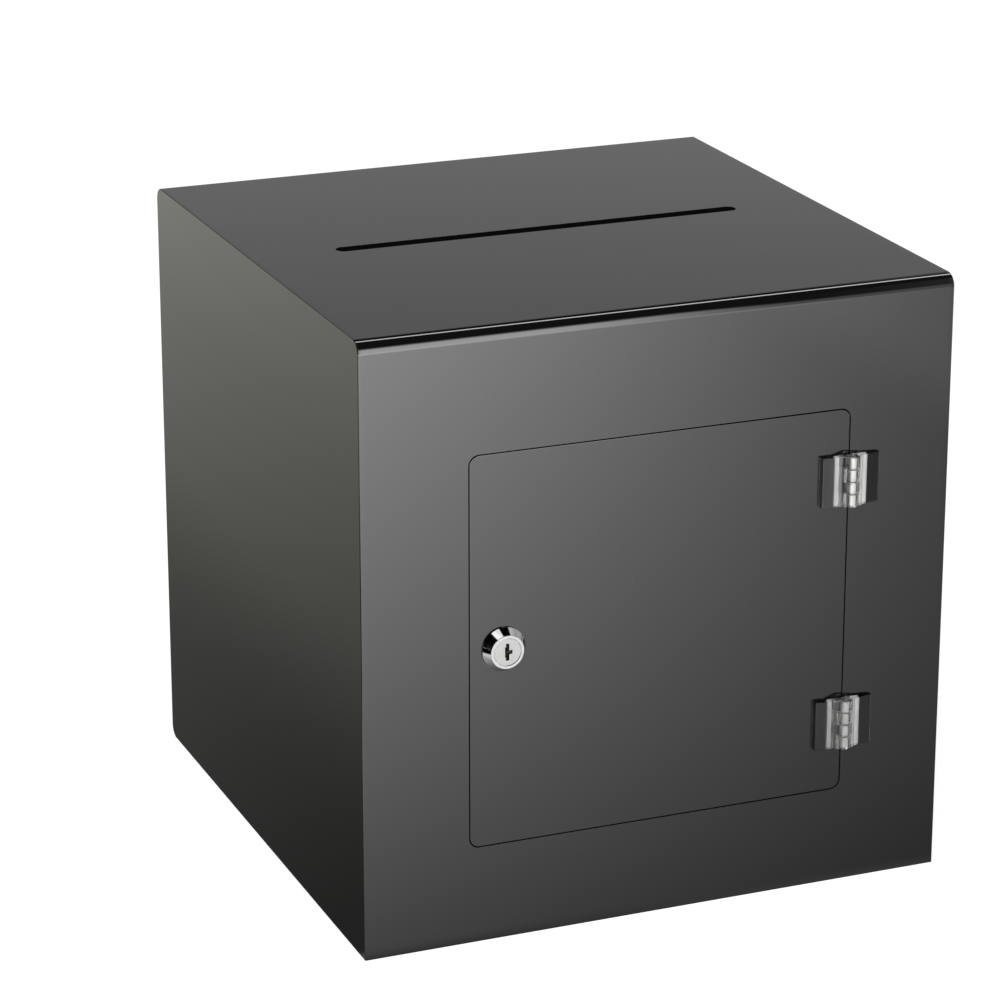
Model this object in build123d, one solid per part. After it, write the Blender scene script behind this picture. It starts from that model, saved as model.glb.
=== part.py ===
"""Black acrylic ballot box with a slotted top and a flush, lockable front door.

Frame: +X to the right, +Y to the back, +Z up. The origin is the centre of the box's
footprint, on the surface that it stands on. All lengths are in millimetres.
"""

import os
from math import cos, radians, sin, sqrt

from build123d import *

# Box shell
box_width = 305.0
box_depth = 305.0
box_height = 308.0
sheet = 3.0
bend_inner_radius = 3.5
arris_radius = 0.5
seam_gap = 0.2

# Ballot slot in the top
slot_length = 216.0
slot_width = 8.5

# Door opening in the front, and the door that fills it
door_width = 196.4
door_height = 197.0
door_gap = 0.6
door_sill = 49.9
door_corner_radius = 4.7

# Butt hinges on the door's right edge
hinge_height = 25.0
hinge_spacing = 126.2
leaf_reach = 15.4
leaf_thickness = 2.8
leaf_edge_radius = 0.35
frame_leaf_taper = 0.95
barrel_radius = 3.5
barrel_lift = 0.1
ramp_foot = 9.0
ramp_crest_reach = 4.5
ramp_crest_height = 5.0
ramp_radius = 7.0
knuckle_count = 4
knuckle_side_gap = 0.25
knuckle_end_gap = 0.2
leaf_root = 2.2
pin_radius = 1.5
pin_clearance = 0.04
pin_recess = 0.3

# Strips behind the opening's left edge that the shut door rests on
stop_length = 30.0
stop_thickness = 3.0
stop_glue_width = 9.0
stop_overlap = 4.5
stop_spacing = 126.2

# Cam lock: housing, nut and washers
lock_inset = 17.0
lock_rise = 1.3
bezel_radius = 11.0
bezel_rim = 0.9
bezel_face_radius = 8.5
bezel_height = 5.5
bezel_edge = 0.4
barrel_thread_radius = 9.4
barrel_flats = 16.0
barrel_length = 12.0
thread_pitch = 1.0
thread_depth = 0.45
lock_hole_clearance = 0.2
star_washer_thickness = 0.6
star_washer_ring_radius = 11.0
star_washer_tooth_radius = 12.2
star_washer_tooth_width = 1.5
star_washer_teeth = 14
nut_flats = 22.0
nut_thickness = 4.0
nut_chamfer = 0.8
nut_thread_clearance = 0.1

# Lock plug, tumblers and springs
plug_radius = 5.95
plug_clearance = 0.05
plug_head_radius = 6.75
plug_head_thickness = 1.4
plug_face_recess = 0.3
keyway_height = 8.5
keyway_width = 1.8
keyway_depth = 14.0
ward_height = 1.4
ward_reach = 1.3
wafer_count = 5
wafer_pitch = 2.2
wafer_first = 3.0
wafer_thickness = 0.9
wafer_half_width = 3.0
wafer_play = 0.1
wafer_rim = 0.9
wafer_lug_width = 1.4
wafer_lug_height = 1.0
wafer_lug_top = 3.2
spring_wire = 0.12
spring_wire_sides = 8
spring_radius = 0.36
spring_turns = 7
spring_pocket_floor = -3.3
spring_seat_gap = 0.05

# Cam, stop washer and the screw that holds them on the plug's square tail
tail_width = 7.2
tail_clearance = 0.1
stop_washer_thickness = 0.8
stop_washer_radius = 8.8
stop_washer_gap = 0.1
stop_track_radius = 7.4
stop_lug_place_angle = 90.0
stop_lug_angle = 24.0
stop_lug_margin_angle = 2.0
stop_lug_play = 0.15
turn_angle = 90.0
cam_thickness = 1.8
cam_width = 14.0
cam_reach = 28.0
cam_crank_reach = 13.4
cam_running_gap = 0.5
cam_corner_radius = 3.0
tail_shortfall = 0.1
screw_radius = 1.6
screw_clearance = 0.05
screw_length = 6.5
screw_head_radius = 3.8
screw_head_height = 2.4
screw_drive_width = 0.9
screw_drive_depth = 1.2
screw_washer_radius = 5.4
screw_washer_thickness = 0.8

# How far a cutter runs past what it cuts, and the sides of a sector's cutter
overrun = 1.0
sector_sides = 4

# Places worked out from the sizes above
front_face = -box_depth / 2
front_back = front_face + sheet
inner_width = box_width - 2 * sheet
bend_outer_radius = bend_inner_radius + sheet
door_centre_z = door_sill + door_height / 2
hinge_x = door_width / 2 + door_gap / 2
barrel_height = barrel_radius + barrel_lift
hinge_y = front_face - barrel_height
knuckle_zone = hinge_height / knuckle_count
lock_x = -door_width / 2 + lock_inset
lock_z = door_centre_z + lock_rise
barrel_end = front_face + barrel_length
bezel_front = front_face - bezel_height
plug_front = bezel_front + plug_face_recess
stop_washer_front = barrel_end + stop_washer_gap
cam_front = stop_washer_front + stop_washer_thickness
cam_back = cam_front + cam_thickness
cam_tip_front = front_back + cam_running_gap
nut_front = front_back + star_washer_thickness


def plate(sketch, front, back):
    """A sketch drawn in X and Z, as a slab from y = front to y = back."""
    plane = Plane(origin=(0, back, 0), x_dir=(1, 0, 0), z_dir=(0, -1, 0))
    return extrude(plane * sketch, amount=back - front)


def at_lock(sketch):
    """A sketch in X and Z, moved from the origin to the lock's axis."""
    return Pos(lock_x, lock_z) * sketch


def turned_on_lock(points):
    """A closed outline of (radius, y) points, turned about the lock's axis."""
    face = make_face(Polyline(*points, close=True))
    return Pos(lock_x, 0, lock_z) * revolve(face, Axis.Y)


def rounded_outline(offset_in):
    """The box's side outline in Y and Z, moved inwards, square at the front bottom."""
    half = box_depth / 2 - offset_in
    top = box_height - offset_in
    radius = bend_outer_radius - offset_in
    turn = radius * (1 - sqrt(2) / 2)
    line = Polyline((-half, top - radius), (-half, offset_in), (half - radius, offset_in))
    line += ThreePointArc(
        (half - radius, offset_in), (half - turn, offset_in + turn), (half, offset_in + radius)
    )
    line += Line((half, offset_in + radius), (half, top - radius))
    line += ThreePointArc((half, top - radius), (half - turn, top - turn), (half - radius, top))
    line += Line((half - radius, top), (-half + radius, top))
    line += ThreePointArc(
        (-half + radius, top), (-half + turn, top - turn), (-half, top - radius)
    )
    return make_face(line)


def door_shape(grow):
    """The door's outline in X and Z, larger by grow all round."""
    outline = RectangleRounded(
        door_width + 2 * grow, door_height + 2 * grow, door_corner_radius + grow
    )
    return Pos(0, door_centre_z) * outline


def make_wrap_sheet():
    """Front, top, back and bottom: one sheet with three heat bends."""
    section = rounded_outline(0) - rounded_outline(sheet)
    seam = Pos(front_back + seam_gap / 2, sheet / 2) * Rectangle(seam_gap, sheet + 2 * overrun)
    section -= seam
    wrap = Pos(-inner_width / 2, 0, 0) * extrude(Plane.YZ * section, amount=inner_width)
    wrap -= plate(door_shape(door_gap), front_face - overrun, front_back + overrun)
    slot = SlotOverall(slot_length, slot_width)
    wrap -= extrude(Plane.XY.offset(box_height - sheet - overrun) * slot, amount=sheet + 2 * overrun)
    return wrap


def make_side_panel(side):
    """A flat panel glued over the wrap's edges; side is -1 for left and 1 for right."""
    panel = extrude(Plane.YZ * rounded_outline(0), amount=sheet)
    outer_face = panel.faces().sort_by(Axis.X)[-1]
    panel = fillet(outer_face.edges(), arris_radius)
    panel = Pos(inner_width / 2, 0, 0) * panel
    if side < 0:
        panel = mirror(panel, about=Plane.YZ)
    return panel


def lock_hole_shape(grow):
    """The threaded barrel's round section with two flats, larger by grow."""
    round_part = Circle(barrel_thread_radius + grow)
    flats = Rectangle(barrel_flats + 2 * grow, 2 * barrel_thread_radius + 2 * overrun)
    return round_part & flats


def make_door_panel():
    """The flush door with its hole for the lock."""
    door = plate(door_shape(0), front_face, front_back)
    hole = at_lock(lock_hole_shape(lock_hole_clearance))
    door -= plate(hole, front_face - overrun, front_back + overrun)
    return door


def leaf_section(tip_thickness):
    """One leaf seen from above: reach from the hinge axis, and height off the panel."""
    chord = (ramp_foot - ramp_crest_reach, ramp_crest_height - leaf_thickness)
    length = sqrt(chord[0] ** 2 + chord[1] ** 2)
    sag = ramp_radius - sqrt(ramp_radius**2 - (length / 2) ** 2)
    middle = (
        (ramp_foot + ramp_crest_reach) / 2 - sag * chord[1] / length,
        (leaf_thickness + ramp_crest_height) / 2 - sag * chord[0] / length,
    )
    line = Polyline(
        (ramp_crest_reach, ramp_crest_height),
        (leaf_root, ramp_crest_height),
        (leaf_root, 0),
        (leaf_reach, 0),
        (leaf_reach, tip_thickness - leaf_edge_radius),
        (leaf_reach - leaf_edge_radius, tip_thickness),
        (ramp_foot, leaf_thickness),
    )
    line += ThreePointArc(
        (ramp_foot, leaf_thickness), middle, (ramp_crest_reach, ramp_crest_height)
    )
    body = make_face(line)
    notch = Pos(0, barrel_height) * Circle(barrel_radius + knuckle_side_gap)
    return body - notch


def knuckle_section():
    """One knuckle seen from above: the barrel, and the web that joins it to its leaf."""
    barrel = Pos(0, barrel_height) * Circle(barrel_radius)
    web_height = ramp_crest_height - barrel_lift
    web = Pos(ramp_crest_reach / 2, barrel_lift + web_height / 2) * Rectangle(
        ramp_crest_reach, web_height
    )
    return barrel + web


def make_leaf(side, first_knuckle, centre_z):
    """A hinge leaf with every second knuckle; side is -1 for the door's and 1 for the frame's."""
    bottom = centre_z - hinge_height / 2
    tip_thickness = leaf_thickness
    if side > 0:
        tip_thickness -= frame_leaf_taper
    leaf = extrude(Plane.XY.offset(bottom) * leaf_section(tip_thickness), amount=hinge_height)
    for index in range(first_knuckle, knuckle_count, 2):
        low = bottom + index * knuckle_zone
        high = low + knuckle_zone
        if index > 0:
            low += knuckle_end_gap / 2
        if index < knuckle_count - 1:
            high -= knuckle_end_gap / 2
        leaf += extrude(Plane.XY.offset(low) * knuckle_section(), amount=high - low)
    bore = Circle(pin_radius + pin_clearance)
    bore = Pos(0, barrel_height, bottom - overrun) * extrude(bore, amount=hinge_height + 2 * overrun)
    leaf -= bore
    leaf = mirror(leaf, about=Plane.XZ)
    if side < 0:
        leaf = mirror(leaf, about=Plane.YZ)
    return Pos(hinge_x, front_face, 0) * leaf


def make_hinge_pin(centre_z):
    """The steel pin inside one hinge's barrel."""
    length = hinge_height - 2 * pin_recess
    low = centre_z - length / 2
    return Pos(hinge_x, hinge_y, low) * extrude(Circle(pin_radius), amount=length)


def make_door_stop(centre_z):
    """A strip glued behind the front panel, behind the door's free edge."""
    width = stop_glue_width + stop_overlap
    left = -door_width / 2 - door_gap - stop_glue_width
    strip = Pos(left + width / 2, centre_z) * Rectangle(width, stop_length)
    return plate(strip, front_back, front_back + stop_thickness)


def thread_outline():
    """Zigzag points along the barrel's thread, from the door's back to the barrel's end."""
    points = []
    count = int((barrel_end - front_back) / thread_pitch)
    start = barrel_end - count * thread_pitch
    for index in range(count):
        y = start + index * thread_pitch
        points.append((barrel_thread_radius, y))
        points.append((barrel_thread_radius - thread_depth, y + thread_pitch / 2))
    return points


def stop_sector(start_angle, sweep_angle, inner_radius, outer_radius):
    """A ring sector in X and Z about the lock's axis, angles counted from +X towards +Z."""
    reach = 2 * outer_radius
    corners = [(0, 0)]
    for index in range(sector_sides + 1):
        angle = radians(start_angle + sweep_angle * index / sector_sides)
        corners.append((reach * cos(angle), reach * sin(angle)))
    wedge = make_face(Polyline(*corners, close=True))
    return (Circle(outer_radius) - Circle(inner_radius)) & wedge


def make_lock_body():
    """Chromed housing: conical bezel, threaded barrel with two flats, bore and stop lug."""
    head = turned_on_lock(
        [
            (0, front_face),
            (bezel_radius, front_face),
            (bezel_radius, front_face - bezel_rim),
            (bezel_face_radius, bezel_front + bezel_edge),
            (bezel_face_radius - bezel_edge, bezel_front),
            (0, bezel_front),
        ]
    )
    barrel = turned_on_lock(
        [(0, front_face), (barrel_thread_radius, front_face)]
        + thread_outline()
        + [(barrel_thread_radius - thread_depth / 2, barrel_end), (0, barrel_end)]
    )
    barrel &= plate(at_lock(lock_hole_shape(0)), front_face, barrel_end)
    body = head + barrel
    bore_radius = plug_radius + plug_clearance
    body -= plate(at_lock(Circle(bore_radius)), bezel_front - overrun, barrel_end + overrun)
    recess_radius = plug_head_radius + plug_clearance
    recess_back = plug_front + plug_head_thickness + plug_clearance
    body -= plate(at_lock(Circle(recess_radius)), bezel_front - overrun, recess_back)
    lug = stop_sector(
        stop_lug_place_angle - stop_lug_angle / 2,
        stop_lug_angle,
        stop_track_radius + stop_lug_play,
        barrel_thread_radius - thread_depth,
    )
    body += plate(at_lock(lug), barrel_end, cam_front - stop_washer_gap)
    return body


def make_lock_nut():
    """Hexagonal nut that clamps the housing to the door from behind."""
    corner_radius = nut_flats / sqrt(3)
    nut_back = nut_front + nut_thickness
    nut = plate(at_lock(RegularPolygon(corner_radius, 6)), nut_front, nut_back)
    nut &= turned_on_lock(
        [
            (0, nut_front),
            (corner_radius, nut_front),
            (corner_radius, nut_back - nut_chamfer),
            (corner_radius - nut_chamfer * sqrt(3), nut_back),
            (0, nut_back),
        ]
    )
    bore = Circle(barrel_thread_radius + nut_thread_clearance)
    nut -= plate(at_lock(bore), nut_front - overrun, nut_back + overrun)
    return nut


def make_star_washer():
    """Toothed lock washer between the nut and the door."""
    washer = Circle(star_washer_ring_radius)
    for index in range(star_washer_teeth):
        tooth = Pos(star_washer_tooth_radius / 2, 0) * Rectangle(
            star_washer_tooth_radius, star_washer_tooth_width
        )
        washer += Rot(0, 0, index * 360 / star_washer_teeth) * tooth
    washer -= Circle(barrel_thread_radius + nut_thread_clearance)
    return plate(at_lock(washer), front_back, nut_front)


def wafer_front(index):
    """The y of a tumbler wafer's front face, counted from the plug's face."""
    return plug_front + wafer_first + index * wafer_pitch


def keyway_shape():
    """The keyway as it shows in the plug's face: an upright slot with a ward at its right."""
    slot = Rectangle(keyway_width, keyway_height)
    ward = Pos(ward_reach / 2 + keyway_width / 4, 0) * Rectangle(
        ward_reach + keyway_width / 2, ward_height
    )
    return slot + ward


def lug_shape(grow):
    """The side lug of a wafer, which its spring pushes on; grow widens it into its pocket."""
    low = wafer_lug_top - wafer_lug_height
    if grow > 0:
        low = spring_pocket_floor
    height = wafer_lug_top + grow - low
    width = wafer_half_width + wafer_lug_width + grow
    return Pos(width / 2, low + height / 2) * Rectangle(width, height)


def make_lock_plug():
    """The turning plug: round face with a keyway, wafer slots, and a square tail."""
    plug = plate(at_lock(Circle(plug_head_radius)), plug_front, plug_front + plug_head_thickness)
    plug += plate(at_lock(Circle(plug_radius)), plug_front, barrel_end)
    tail = Rectangle(tail_width, tail_width)
    plug += plate(at_lock(tail), barrel_end, cam_back - tail_shortfall)
    plug -= plate(at_lock(keyway_shape()), plug_front - overrun, plug_front + keyway_depth)
    for index in range(wafer_count):
        front = wafer_front(index) - wafer_play
        back = wafer_front(index) + wafer_thickness + wafer_play
        slot = Rectangle(2 * (wafer_half_width + wafer_play), 2 * plug_radius + overrun)
        plug -= plate(at_lock(slot + lug_shape(wafer_play)), front, back)
    screw_hole = Circle(screw_radius + screw_clearance)
    screw_end = cam_back + screw_washer_thickness - screw_length
    plug -= plate(at_lock(screw_hole), screw_end - screw_clearance, cam_back + overrun)
    return plug


def make_tumbler_wafers():
    """Five flat brass tumblers, drawn flush with the plug, each with a window for the key."""
    half_height = sqrt(plug_radius**2 - wafer_half_width**2) - wafer_play
    outline = Rectangle(2 * wafer_half_width, 2 * half_height) + lug_shape(0)
    window_width = 2 * (wafer_half_width - wafer_rim)
    outline -= Rectangle(window_width, keyway_height - wafer_rim)
    wafers = []
    for index in range(wafer_count):
        front = wafer_front(index)
        wafers += plate(at_lock(outline), front, front + wafer_thickness).solids()
    return Compound(children=wafers)


def make_wafer_springs():
    """Five small coil springs, each under the side lug of its wafer."""
    low = spring_pocket_floor + spring_wire + spring_seat_gap
    high = wafer_lug_top - wafer_lug_height - spring_wire - spring_seat_gap
    pitch = (high - low) / spring_turns
    x = lock_x + wafer_half_width + (wafer_lug_width + wafer_play) / 2
    springs = []
    for index in range(wafer_count):
        y = wafer_front(index) + wafer_thickness / 2
        path = Helix(pitch, high - low, spring_radius)
        wire = RegularPolygon(spring_wire, spring_wire_sides)
        section = Plane(path @ 0, z_dir=path % 0) * wire
        coil = sweep(section, path, is_frenet=True)
        springs += (Pos(x, y, lock_z + low) * coil).solids()
    return Compound(children=springs)


def tail_hole():
    """The square hole with which a piece sits on the plug's tail."""
    width = tail_width + 2 * tail_clearance
    return Rectangle(width, width)


def make_stop_washer():
    """Washer on the square tail, with a cut-away rim that limits the plug's turn."""
    track = stop_sector(
        stop_lug_place_angle - stop_lug_angle / 2 - stop_lug_margin_angle,
        stop_lug_angle + turn_angle + 2 * stop_lug_margin_angle,
        stop_track_radius,
        stop_washer_radius + overrun,
    )
    washer = Circle(stop_washer_radius) - track - tail_hole()
    return plate(at_lock(washer), stop_washer_front, cam_front)


def make_cam():
    """Cranked steel cam: a hub on the tail, a leg forward past the nut, and a tip."""
    hub = Circle(cam_width / 2)
    arm_length = cam_crank_reach + cam_thickness
    hub += Pos(0, -arm_length / 2) * Rectangle(cam_width, arm_length)
    hub -= tail_hole()
    cam = plate(at_lock(hub), cam_front, cam_back)
    leg = Pos(0, -cam_crank_reach - cam_thickness / 2) * Rectangle(cam_width, cam_thickness)
    cam += plate(at_lock(leg), cam_tip_front, cam_back)
    tip_length = cam_reach - cam_crank_reach
    tip = Pos(0, -cam_crank_reach - tip_length / 2) * Rectangle(cam_width, tip_length)
    tip = fillet(tip.vertices().group_by(Axis.Y)[0], cam_corner_radius)
    cam += plate(at_lock(tip), cam_tip_front, cam_tip_front + cam_thickness)
    return cam


def make_cam_screw():
    """Pan-head screw, with a crossed drive, that holds the cam on the tail."""
    under_head = cam_back + screw_washer_thickness
    head_back = under_head + screw_head_height
    shank_end = under_head - screw_length
    screw = turned_on_lock(
        [
            (0, shank_end),
            (screw_radius, shank_end),
            (screw_radius, under_head),
            (screw_head_radius, under_head),
            (screw_head_radius, under_head + screw_head_height / 2),
            (screw_head_radius - screw_head_height / 2, head_back),
            (0, head_back),
        ]
    )
    arm = 2 * (screw_head_radius - screw_head_height / 2)
    drive = Rectangle(arm, screw_drive_width) + Rectangle(screw_drive_width, arm)
    screw -= plate(at_lock(drive), head_back - screw_drive_depth, head_back + overrun)
    return screw


def make_cam_screw_washer():
    """Flat washer between the screw's head and the cam."""
    washer = Circle(screw_washer_radius) - Circle(screw_radius + screw_clearance)
    return plate(at_lock(washer), cam_back, cam_back + screw_washer_thickness)


def make_parts():
    """Every piece of the box under its own name."""
    parts = {
        "wrap_sheet": make_wrap_sheet(),
        "left_side_panel": make_side_panel(-1),
        "right_side_panel": make_side_panel(1),
        "door_panel": make_door_panel(),
        "lock_body": make_lock_body(),
        "lock_nut": make_lock_nut(),
        "lock_star_washer": make_star_washer(),
        "lock_plug": make_lock_plug(),
        "tumbler_wafers": make_tumbler_wafers(),
        "wafer_springs": make_wafer_springs(),
        "stop_washer": make_stop_washer(),
        "cam": make_cam(),
        "cam_screw": make_cam_screw(),
        "cam_screw_washer": make_cam_screw_washer(),
    }
    for name, way in (("upper", 1), ("lower", -1)):
        hinge_z = door_centre_z + way * hinge_spacing / 2
        parts[f"{name}_hinge_door_leaf"] = make_leaf(-1, 1, hinge_z)
        parts[f"{name}_hinge_frame_leaf"] = make_leaf(1, 0, hinge_z)
        parts[f"{name}_hinge_pin"] = make_hinge_pin(hinge_z)
        parts[f"{name}_door_stop"] = make_door_stop(door_centre_z + way * stop_spacing / 2)
    return parts


os.makedirs("parts", exist_ok=True)
for node, shape in make_parts().items():
    export_step(shape, f"parts/{node}.step")
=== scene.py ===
"""Black acrylic ballot box with a slotted top and a lockable front door, dressed on its CAD frame.

Everything is in metres, in the frame of the CAD: +X right, +Y back, +Z up.
"""

from math import acos, asin, atan2, cos, degrees, pi, radians, sin, sqrt

import bmesh
import bpy
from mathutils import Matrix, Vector


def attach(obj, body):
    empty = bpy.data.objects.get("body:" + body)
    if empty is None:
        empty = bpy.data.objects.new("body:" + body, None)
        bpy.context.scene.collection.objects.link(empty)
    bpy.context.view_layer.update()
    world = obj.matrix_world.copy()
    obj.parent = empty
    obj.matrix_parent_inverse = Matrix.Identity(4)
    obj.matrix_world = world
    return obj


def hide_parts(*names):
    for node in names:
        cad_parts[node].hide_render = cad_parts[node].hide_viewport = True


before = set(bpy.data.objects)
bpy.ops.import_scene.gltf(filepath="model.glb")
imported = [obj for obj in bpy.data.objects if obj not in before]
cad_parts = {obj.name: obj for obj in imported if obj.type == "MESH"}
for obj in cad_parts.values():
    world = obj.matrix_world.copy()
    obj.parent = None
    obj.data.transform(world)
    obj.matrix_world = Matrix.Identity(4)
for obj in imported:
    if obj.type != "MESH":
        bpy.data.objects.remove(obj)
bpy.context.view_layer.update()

MM = 0.001

# Places closer than this are one; a normal with this much along an axis looks that way
TOLERANCE = 0.001 * MM
FACING = 0.99

# Box shell
WIDTH = 305 * MM
DEPTH = 305 * MM
HEIGHT = 308 * MM
SHEET = 3 * MM
BEND_RADIUS = 6.5 * MM
SEAM_GAP = 0.2 * MM
ARRIS = 0.5 * MM
CUT_EDGE = 0.25 * MM
BEND_STEPS = 24

# Openings and door
SLOT_LENGTH = 216 * MM
SLOT_WIDTH = 8.5 * MM
DOOR_WIDTH = 196.4 * MM
DOOR_HEIGHT = 197 * MM
DOOR_GAP = 0.6 * MM
DOOR_CORNER = 4.7 * MM
DOOR_Z = 148.4 * MM
FRONT = -DEPTH / 2

# Hinges
HINGE_X = 98.5 * MM
HINGE_SPACING = 126.2 * MM
HINGE_HEIGHT = 25 * MM
BARREL_RADIUS = 3.5 * MM
BARREL_LIFT = 0.1 * MM
BARREL_HEIGHT = BARREL_RADIUS + BARREL_LIFT
KNUCKLES = 4
KNUCKLE_GAP = 0.2 * MM
KNUCKLE_PLAY = 0.25 * MM
KNUCKLE_SIDES = 96
LEAF_REACH = 15.4 * MM
LEAF_THICKNESS = 2.8 * MM
FRAME_LEAF_TIP = 1.85 * MM
LEAF_EDGE = 0.35 * MM
LEAF_ROOT = 2.2 * MM
LEAF_RELIEF = 0.15 * MM
FROSTED = {-1: (5.6 * MM, 8.2 * MM), 1: (4.6 * MM, 8.8 * MM)}
RAMP_FOOT = 9 * MM
CREST_REACH = 4.5 * MM
CREST_HEIGHT = 5 * MM
RAMP_RADIUS = 7 * MM
MOULDED_EDGE = 0.15 * MM
BORE_RADIUS = 1.48 * MM
BORE_SIDES = 48

# Cam lock
LOCK_X = -81.2 * MM
LOCK_Z = 149.7 * MM
BEZEL_RADIUS = 11 * MM
BEZEL_RIM = 0.9 * MM
BEZEL_FACE = 8.5 * MM
BEZEL_HEIGHT = 5.5 * MM
BEZEL_EDGE = 0.4 * MM
LIP_CHAMFER = 0.22 * MM
BARREL_LENGTH = 12 * MM
THREAD_RADIUS = 9.4 * MM
THREAD_DEPTH = 0.45 * MM
THREAD_PITCH = 1 * MM
THREAD_STEPS = 8
BARREL_FLATS = 16 * MM
BORE = 6 * MM
HEAD_BORE = 6.8 * MM
HEAD_BORE_DEPTH = 1.75 * MM
LOCK_SIDES = 96
LOCK_HOLE_PLAY = 0.2 * MM
STAR_THICKNESS = 0.6 * MM
STAR_RING = 11 * MM
STAR_REACH = 12.2 * MM
STAR_TEETH = 14
TOOTH_ROOT = 0.4 * MM
TOOTH_WIDTH = 1.5 * MM
TOOTH_THICKNESS = 0.7 * STAR_THICKNESS
TOOTH_TWIST = 8
NUT_FLATS = 22 * MM
NUT_THICKNESS = 4 * MM
NUT_CHAMFER = 0.8 * MM
NUT_CHAMFER_STEPS = 6
NUT_EDGE = 0.1 * MM
NUT_BORE = 9.5 * MM
STOP_LUG = (7.55 * MM, 8.95 * MM)
STOP_LUG_ANGLE = 24
STOP_LUG_HEIGHT = 0.8 * MM
STOP_LUG_ROOT = 0.3 * MM

# Tumblers and springs, counted from the plug's face
PLUG_FACE = FRONT - 5.2 * MM
PLUG_RADIUS = 5.95 * MM
WAFERS = 5
WAFER_PITCH = 2.2 * MM
WAFER_FIRST = 3 * MM
WAFER_THICKNESS = 0.9 * MM
WAFER_HALF_WIDTH = 3 * MM
WAFER_PLAY = 0.1 * MM
WAFER_RIM = 0.9 * MM
WAFER_EDGE = 0.06 * MM
WINDOW_CORNER = 0.5 * MM
WAFER_LUG = 1.4 * MM
WAFER_LUG_LOW = 2.2 * MM
WAFER_LUG_TOP = 3.2 * MM
KEYWAY_HEIGHT = 8.5 * MM
KEYWAY_CUTS = (
    ((-0.95 * MM, 0.1 * MM), 0.7 * MM, 5.2 * MM),
    ((1.5 * MM, -0.1 * MM), 2.0 * MM, 2.0 * MM),
)
KEYWAY_CORNER = 0.15 * MM
KEYWAY_CUT_DEPTH = 2.4 * MM
SPRING_WIRE = 0.12 * MM
SPRING_RADIUS = 0.36 * MM
SPRING_TURNS = 7
SPRING_TURN_STEPS = 16
SPRING_WIRE_SIDES = 10
SPRING_LOW = -3.13 * MM
SPRING_HIGH = 2.03 * MM

# Triangles of the CAD closer than this are joined, and flatter than this in degrees are one face
CAD_WELD = 2e-7
CAD_FLATNESS = 0.4

# Acrylic's index of refraction, and the rings left by turning, in radians of their wave per metre
ACRYLIC_IOR = 1.49
TURNING_RINGS = 30000

# Studio: places in metres, angles in degrees, the lamps' power in watts
FLOOR_HALF = 8.0
CAMERA_PLACE = (-0.72159, -1.73057, 0.81304)
CAMERA_TURN = (70.9148, -0.0193, -22.0253)
CAMERA_LENS = 139.449
CAMERA_SENSOR = 36
LAMP_AIM = (0, 0, 0.1)
LAMPS = (
    ("key_lamp", (-1.3, -1.7, 2.3), 1.4, 55),
    ("fill_lamp", (1.9, -0.9, 1.6), 1.6, 26),
)

# Brightness in a gloss, of the floor's parts and then of the studio's by direction
POOL_LEVEL = 11.3
BEHIND_LEVEL = 1.1
RIGHT_FLOOR_LEVEL = 2.7
FAR_RIGHT_LEVEL = 6.0
WALL_LEVELS = (0.50, 0.37)
STRIP_LEVELS = (2.5, 9.5)
RIGHT_WALL_LEVEL = 0.62
PATCH_LEVEL = 1.45
SIDE_BOX_LEVELS = (4.2, 2.2)
FRONT_LEVELS = (7.6, 1.3)
SOFT_FRONT_LEVEL = 0.38

# Brightness of the world as a plain light, and of the floor's own glow where it is seen
PLAIN_LEVEL = 0.5
FLOOR_SEEN_LEVEL = 0.80


def link(name, data):
    """A new object at the origin with a mesh, a lamp or a camera."""
    made = bpy.data.objects.new(name, data)
    bpy.context.scene.collection.objects.link(made)
    return made


def mesh_object(name, bm):
    """Closes a bmesh's seams, turns its faces outwards and makes an object of it."""
    bmesh.ops.remove_doubles(bm, verts=bm.verts, dist=TOLERANCE)
    bmesh.ops.recalc_face_normals(bm, faces=bm.faces)
    mesh = bpy.data.meshes.new(name)
    bm.to_mesh(mesh)
    bm.free()
    return link(name, mesh)


def bake(piece):
    """Turns the piece's modifiers into a plain mesh."""
    graph = bpy.context.evaluated_depsgraph_get()
    mesh = bpy.data.meshes.new_from_object(piece.evaluated_get(graph), depsgraph=graph)
    old = piece.data
    piece.modifiers.clear()
    piece.data = mesh
    bpy.data.meshes.remove(old)
    mesh.name = piece.name


def cut(piece, cutter):
    """Cuts one closed mesh out of another."""
    tool = piece.modifiers.new("cut", "BOOLEAN")
    tool.operation = "DIFFERENCE"
    tool.solver = "EXACT"
    tool.object = cutter
    bake(piece)
    bpy.data.objects.remove(cutter)


def merge(piece, other):
    """Adds another piece's mesh to a piece."""
    bm = bmesh.new()
    bm.from_mesh(piece.data)
    bm.from_mesh(other.data)
    bm.to_mesh(piece.data)
    bm.free()
    bpy.data.objects.remove(other)


def shade(piece, sharp_angle=40):
    """Smooth shading in which the large flat faces stay flat."""
    piece.data.polygons.foreach_set("use_smooth", [True] * len(piece.data.polygons))
    piece.data.set_sharp_from_angle(angle=radians(sharp_angle))
    normals = piece.modifiers.new("normals", "WEIGHTED_NORMAL")
    normals.keep_sharp = True
    bake(piece)


def soften(piece, width, steps=2, wanted=lambda edge: True, sharp=30):
    """Rounds the sharp edges for which wanted(edge) holds."""
    bm = bmesh.new()
    bm.from_mesh(piece.data)
    edges = [
        e
        for e in bm.edges
        if len(e.link_faces) == 2 and e.calc_face_angle() > radians(sharp) and wanted(e)
    ]
    bmesh.ops.bevel(
        bm, geom=edges, offset=width, segments=steps, profile=0.5, affect="EDGES", clamp_overlap=True
    )
    bm.to_mesh(piece.data)
    bm.free()


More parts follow.
